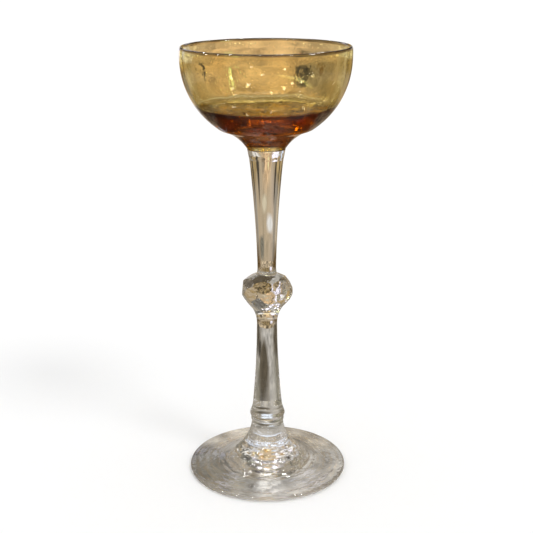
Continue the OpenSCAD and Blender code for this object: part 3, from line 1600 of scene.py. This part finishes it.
@dataclass
class Studio:
    """Plain pale floor, even light, a soft key lamp, sparks, cards and the camera.

    Attributes:
        floor_side: Side of the square floor.
        floor_gap: Distance from the floor up to the glass.
        floor_tone: Colour of the floor.
        middle_r: Radius of the second of the round papers on the table.
        waist_r: Radius of the third.
        near_r: Radius of the fourth.
        under_r: Radius of the last and smallest.
        wall_r: Radius of the wall and of the largest paper on the table.
        wall_h: Height of the wall.
        roof_h: Height of the roof over the glass.
        key_energy: Strength of the key lamp.
        key_angle: Angle that the key lamp takes up.
        key_from: Direction that the key light comes from.
        spark_d: Diameter of a spark.
        spark_glow: Glow of a spark.
        spark_reach: Distance of the sparks from the point that they face.
        spark_aim: Height of that point.
        sparks: Directions of the sparks, from straight behind to the right, and up.
        camera_place: Place of the camera.
        camera_pitch: Angle by which it looks down.
        camera_roll: Angle by which it leans over.
        camera_view: Angle that the picture takes up.
        camera_sensor: Width of the sensor.
        camera_clip: Nearest and farthest distance that it sees.
    """

    floor_side: float = 16000.0
    floor_gap: float = 0.1
    floor_tone: Colour = (0.90, 0.90, 0.90)
    middle_r: float = 285.0
    waist_r: float = 132.0
    near_r: float = 78.0
    under_r: float = 34.0
    wall_r: float = 400.0
    wall_h: float = 190.0
    roof_h: float = 560.0
    key_energy: float = 0.6
    key_angle: float = 16.0
    key_from: tuple[float, float, float] = (90.0, -80.0, 135.0)
    spark_d: float = 15.0
    spark_glow: float = 90.0
    spark_reach: float = 240.0
    spark_aim: float = 100.0
    sparks: tuple[Place, ...] = (
        (142.0, 54.0), (-140.0, 58.0), (172.0, 42.0), (-165.0, 66.0),
        (118.0, 40.0), (-112.0, 44.0), (40.0, 56.0), (-35.0, 50.0),
        (85.0, 64.0), (-80.0, 60.0), (156.0, 30.0), (-150.0, 34.0),
        (-128.0, 50.0), (-98.0, 33.0), (104.0, 52.0), (12.0, 66.0),
    )
    camera_place: tuple[float, float, float] = (-0.1, -343.289, 182.160)
    camera_pitch: float = 17.352
    camera_roll: float = -0.235
    camera_view: float = 28.4956
    camera_sensor: float = 36.0
    camera_clip: Place = (10.0, 100000.0)

    def build(self, shop: Shop) -> None:
        """Sets up the whole studio.

        Args:
            shop: The finishes.
        """
        self._render_settings()
        self._world()
        self._floor(shop)
        self._key()
        self._sparks()
        for card in self.cards():
            card.build(shop)
        self._camera()

    def cards(self) -> list[Card]:
        """The papers round the glass: a table, a wall, a roof, and sheets in front of them."""
        sheets = [*self._wall_sheets(), *self._windows(), *self._flags(), *self._table_sheets()]
        return [*self._ground(), *sheets]

    def _ground(self) -> list[Card]:
        """Sets up the table, wall and roof, and smaller round papers in layers on the table.

        Returns:
            The cards.
        """
        level = -self.floor_gap / 2
        lift = self.floor_gap / 10
        layers = (
            (TABLE_PAPER, self.wall_r),
            (MIDDLE_PAPER, self.middle_r),
            (WAIST_PAPER, self.waist_r),
            (NEAR_PAPER, self.near_r),
            (UNDER_PAPER, self.under_r),
        )
        made = [
            Card("wall_card", TABLE_PAPER, (self.wall_r, level), (self.wall_r, self.wall_h)),
            Card("roof_card", ROOF_PAPER, (self.wall_r, self.wall_h), (0.0, self.roof_h)),
        ]
        for k, (paper, radius) in enumerate(layers):
            height = level + k * lift
            made.append(Card(paper.name.replace("paper", "card"), paper, (0.0, height), (radius, height)))
        return made

    def _wall_sheets(self) -> list[Card]:
        """Hangs sheets close to the wall, which show upside down through the bowl and the stem.

        Returns:
            The cards.
        """
        back, edge, line, veil, front = (self.wall_r - gap for gap in (2.0, 3.0, 4.0, 5.0, 6.0))
        backdrop_h, edge_h, line_h = (40.0, 150.0), (56.0, 134.0), (40.0, 140.0)
        faint, speckled, blotched, clouded = (0.2, 25.0), (0.5, 12.0), (0.6, 18.0), (0.5, 20.0)
        stand, lean = Card.upright, Card.leaning
        return [
            stand("backdrop", Tone.CREAM, back, backdrop_h, (0.0, 27.0), 1.0, blotched),
            stand("backdrop_right", Tone.CREAM, back, backdrop_h, (90.0, 80.0), 0.55, blotched),
            stand("backdrop_front", Tone.TAN, back, backdrop_h, (180.0, 60.0), 0.8, (0.4, 20.0)),
            stand("backdrop_left", Tone.CREAM, back, backdrop_h, (-90.0, 80.0), 0.55, blotched),
            stand("edge_right", Tone.RUSSET, edge, edge_h, (42.0, 56.0), 0.9, clouded),
            stand("edge_left", Tone.RUSSET, edge, edge_h, (-42.0, 56.0), 1.15, clouded),
            stand("line_right", Tone.UMBER, line, line_h, (46.0, 10.0)),
            stand("line_left", Tone.UMBER, line, line_h, (-41.0, 6.0)),
            stand("line_far_right", Tone.UMBER, line, line_h, (64.0, 12.0)),
            stand("line_far_left", Tone.UMBER, line, line_h, (-61.0, 12.0)),
            stand("outline_right", Tone.UMBER, line, (30.0, 140.0), (22.0, 9.0)),
            stand("outline_left", Tone.UMBER, line, (30.0, 110.0), (-25.0, 7.0)),
            lean("band_back", Tone.AMBER, (385.0, 182.0), (345.0, 236.0), (0.0, 32.0), 1.1, (1.8, 12.0)),
            stand("flag_wall", Tone.UMBER, edge, (140.0, 186.0), (0.0, 44.0)),
            stand("patch_right", Tone.UMBER, front, (76.0, 108.0), (4.6, 2.0), 1.0, speckled),
            stand("patch_far_right", Tone.BROWN, front, (82.0, 112.0), (7.4, 1.8), 0.8, speckled),
            stand("patch_left", Tone.UMBER, front, (74.0, 122.0), (-9.3, 1.6), 1.0, speckled),
            stand("veil_right", Tone.TAN, veil, (58.0, 124.0), (8.0, 9.0), 0.7, (0.5, 14.0)),
            stand("slip_pale", Tone.LIME, front, (72.0, 108.0), (-4.2, 1.5), 1.4, (0.3, 12.0)),
            stand("slip_far", Tone.WHITE, line, (0.0, 25.0), (-12.0, 28.0), 0.85, faint),
            stand("slip_wall", Tone.STRAW, line, (22.0, 46.0), (6.5, 18.0), 1.0, faint),
        ]

    def _windows(self) -> list[Card]:
        """Hangs bright sheets, most of them high up, which the glass mirrors.

        Returns:
            The cards.
        """
        low_r, low_h = self.wall_r - 6.0, (128.0, 200.0)
        warm_near, warm_far = (342.0, 243.0), (285.0, 296.0)
        grained, cloudy = (0.9, 16.0), (1.2, 14.0)
        stand, lean = Card.upright, Card.leaning
        return [
            stand("window_left", Tone.LILAC, 380.0, (98.0, 152.0), (-21.0, 20.0), 1.5),
            stand("window_back", Tone.GOLD, 393.0, (130.0, 162.0), (1.0, 26.0), 1.8, (1.8, 7.0)),
            lean("window_middle", Tone.WHITE, (376.0, 216.0), (255.0, 304.0), (0.0, 10.0), 0.7, (0.9, 14.0)),
            stand("window_high", Tone.LILAC, 250.0, (300.0, 400.0), (2.0, 16.0), 3.0, grained),
            stand("window_far_left", Tone.ICE, 330.0, (105.0, 175.0), (-46.0, 12.0), 1.2),
            stand("window_top_left", Tone.LILAC, 250.0, (290.0, 390.0), (-28.0, 20.0), 1.5),
            lean("window_side_left", Tone.AMBER, (250.0, 300.0), (170.0, 390.0), (-64.0, 26.0), 2.0, cloudy),
            lean("window_side_right", Tone.AMBER, (250.0, 270.0), (150.0, 400.0), (80.0, 44.0), 1.0, cloudy),
            lean("warm_left", Tone.LILAC, warm_near, warm_far, (-19.0, 26.0), 2.6, cloudy),
            lean("warm_right", Tone.LILAC, warm_near, warm_far, (19.0, 26.0), 3.0, cloudy),
            stand("warm_low_left", Tone.WHITE, low_r, low_h, (-22.0, 34.0), 1.2, cloudy),
            stand("warm_low_right", Tone.WHITE, low_r, low_h, (22.0, 34.0), 1.0, cloudy),
            lean("window_top", Tone.WHITE, (160.0, 408.0), (50.0, 510.0), (0.0, 130.0), 3.0, (0.9, 20.0)),
            lean("strip_left", Tone.LIME, (252.0, 298.0), (240.0, 320.0), (-125.0, 80.0), 6.0, (0.7, 20.0)),
            lean("strip_front", Tone.WHITE, (110.0, 326.0), (76.0, 350.0), (180.0, 150.0), 2.5, grained),
        ]

    @staticmethod
    def _flags() -> list[Card]:
        """Sets up dark sheets, which draw dark lines in the glass.

        Returns:
            The cards.
        """
        bowl = Card.level("flag_bowl", Tone.UMBER, 100.0, (8.0, 40.0), (0.0, FULL_TURN))
        return [
            Card.upright("flag_right", Tone.UMBER, 248.0, (150.0, 380.0), (27.0, 26.0)),
            Card.upright("flag_left", Tone.UMBER, 248.0, (176.0, 225.0), (-24.0, 24.0)),
            Card.level("flag_low", Tone.DUSK, 0.6, (32.0, 122.0), (13.0, 44.0), 1.3),
            Card.level("flag_knop", Tone.UMBER, 0.5, (82.0, 112.0), (34.0, 22.0)),
            replace(bowl, mirrored_only=True),
        ]

    def _table_sheets(self) -> list[Card]:
        """Lays sheets on the table, which show in the base of the bowl, the knop and the foot.

        Returns:
            The cards.
        """
        edge_r = self.wall_r - 1.0
        far_r = (128.0, edge_r)
        lay = Card.level
        return [
            lay("shade_left", Tone.DUSK, 0.3, (74.0, 150.0), (-56.0, 64.0), 1.0, (1.2, 20.0)),
            lay("shade_right", Tone.DUSK, 0.3, (80.0, 150.0), (58.0, 60.0), 1.0, (1.2, 20.0)),
            lay("shade_far_left", Tone.BROWN, 0.25, far_r, (-68.0, 96.0), 0.4, (1.2, 24.0)),
            lay("shade_far_right", Tone.BROWN, 0.25, far_r, (70.0, 96.0), 0.4, (1.2, 24.0)),
            lay("veil_table", Tone.OLIVE, 0.2, (286.0, edge_r), (20.0, 26.0), 0.9, (0.6, 20.0)),
            lay("slip_brown", Tone.RUSSET, 0.4, (126.0, 236.0), (0.0, 64.0), 0.6, (1.6, 12.0)),
            lay("slip_table", Tone.LILAC, 0.5, (150.0, 245.0), (-19.0, 14.0), 1.3, (1.2, 12.0)),
            lay("slip_ring", Tone.ICE, -0.005, (12.0, 25.0), (0.0, 36.0), 1.5, (0.9, 4.0)),
            lay("slip_front", Tone.WHITE, -0.004, (9.0, 28.0), (178.0, 34.0), 0.75, (0.6, 3.0)),
        ]

    @staticmethod
    def _render_settings() -> None:
        """Plain view transform, and enough bounces for light to cross every wall of the glass."""
        scene = bpy.context.scene
        scene.view_settings.view_transform = "Standard"
        scene.cycles.max_bounces = 32
        scene.cycles.transmission_bounces = 32
        scene.cycles.glossy_bounces = 16
        scene.cycles.transparent_max_bounces = 48

    @staticmethod
    def _world() -> None:
        """Even white light from all sides."""
        world = bpy.data.worlds.new("pale_studio")
        bpy.context.scene.world = world
        world.use_nodes = True
        world.node_tree.nodes.clear()
        graph = Graph(world.node_tree)
        white = (1.0, 1.0, 1.0, 1.0)
        light = graph.node("ShaderNodeBackground", sockets={"Color": white, "Strength": 1.0})
        graph.node("ShaderNodeOutputWorld", sockets={"Surface": light})

    def _floor(self, shop: Shop) -> None:
        """Lays a pale matt table top that keeps the shadow.

        Args:
            shop: The finishes.
        """
        half = self.floor_side * MM / 2
        mesh = bpy.data.meshes.new("floor")
        level = -self.floor_gap * MM
        corners = [(-half, -half, level), (half, -half, level), (half, half, level), (-half, half, level)]
        mesh.from_pydata(corners, [], [(0, 1, 2, 3)])
        mesh.materials.append(shop.material(Matt("pale_floor", self.floor_tone)))
        made = add_object("floor", mesh)

    def _key(self) -> None:
        """Soft key light from the right and the front, so that the shadow falls behind to the left."""
        lamp = bpy.data.lights.new("key", "SUN")
        lamp.energy = self.key_energy
        lamp.angle = math.radians(self.key_angle)
        made = add_object("key", lamp)
        made.rotation_euler = Vector(self.key_from).to_track_quat("Z", "Y").to_euler()
        made.visible_glossy = False
        made.visible_transmission = False

    def _sparks(self) -> None:
        """Small bright lamps, which the glass mirrors as glints."""
        aim = Vector((0.0, 0.0, self.spark_aim))
        for k, (azimuth, height) in enumerate(self.sparks):
            lamp = bpy.data.lights.new(f"spark_{k}", "AREA")
            lamp.shape = "DISK"
            lamp.size = self.spark_d * MM
            area = math.pi * (lamp.size / 2) ** 2
            lamp.energy = self.spark_glow * math.pi * area
            made = add_object(lamp.name, lamp)
            facing = towards(math.radians(FULL_TURN / 4 - azimuth), math.radians(height))
            made.location = (facing * self.spark_reach + aim) * MM
            made.rotation_euler = facing.to_track_quat("Z", "Y").to_euler()
            made.visible_camera = False
            made.visible_diffuse = False

    def _camera(self) -> None:
        """The camera at the photograph's place."""
        lens = bpy.data.cameras.new("camera")
        lens.sensor_width = self.camera_sensor
        lens.lens = lens.sensor_width / 2 / math.tan(math.radians(self.camera_view) / 2)
        lens.clip_start, lens.clip_end = (end * MM for end in self.camera_clip)
        made = add_object("camera", lens)
        place = Matrix.Translation(Vector(self.camera_place) * MM)
        pitch = Matrix.Rotation(math.radians(FULL_TURN / 4 - self.camera_pitch), 4, "X")
        roll = Matrix.Rotation(math.radians(self.camera_roll), 4, "Z")
        made.matrix_world = place @ pitch @ roll
        bpy.context.scene.camera = made


CLEAR = Glass("polished_clear_glass", "clear_glass", tint=(0.95, 0.94, 0.91), striae=(0.90, 0.88, 0.84))
CUT = replace(CLEAR, name="cut_clear_glass", ripple=0.13, ripple_length=1.9)
WORKED = replace(CLEAR, name="worked_clear_glass", ripple=0.022, ripple_length=2.6, ring=0.034)
AMBER = Glass(
    "polished_amber_glass",
    "amber_glass",
    tint=(0.97, 0.95, 0.90),
    striae=(0.93, 0.88, 0.78),
    absorb=(0.91, 0.83, 0.34),
    density=500.0,
    ripple=0.08,
    ripple_length=1.7,
    ripple_fade=(122.0, 130.0),
    ring=0.012,
    seed=0.16,
    # Painted shade: a dark line along the rim, painted into the colour of the glass.
    lip=(148.2, 149.0),
)


def assemble() -> list[TurnedPiece]:
    """Sets out the pieces of the glass.

    Returns:
        The pieces, from the table up.
    """
    return [
        Foot("foot", WORKED, seed=1.0, unevenness=0.12),
        LowerRing("lower_ring", CLEAR, seed=2.0, unevenness=0.0),
        UpperRing("upper_ring", CLEAR, seed=3.0, unevenness=0.04),
        Stem(
            "lower_stem",
            CLEAR,
            seed=4.0,
            unevenness=0.12,
            wave_length=12.0,
            polish=6,
            foot_d=RING_D,
            waist_d=7.2,
            waist_h=30.3,
            head_d=UNDER_KNOP_D,
            foot_sweep_r=350.0,
            head_sweep_r=10.6,
        ),
        Knop("knop", CUT, seed=5.0, unevenness=0.0),
        Stem(
            "upper_stem",
            CLEAR,
            seed=6.0,
            unevenness=0.12,
            wave_length=12.0,
            polish=4,
            foot_d=OVER_KNOP_D,
            waist_d=6.5,
            waist_h=2.0,
            head_d=STEM_D,
            foot_sweep_r=8.0,
            head_sweep_r=440.0,
        ),
        Button("button", WORKED, seed=7.0, unevenness=0.0),
        Bowl("bowl", AMBER, seed=8.0, segments=192, unevenness=0.10, wave_length=8.0),
    ]


def main() -> None:
    """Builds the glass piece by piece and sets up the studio."""
    logging.basicConfig(level=logging.INFO, format="%(message)s")
    lathe = Lathe()
    shop = Shop()
    for part in assemble():
        piece = part.build(lathe, shop)
        part.dress(piece)
        LOG.info("%s: %d faces", piece.name, len(piece.data.polygons))
    Studio().build(shop)


if __name__ == "__main__":
    main()
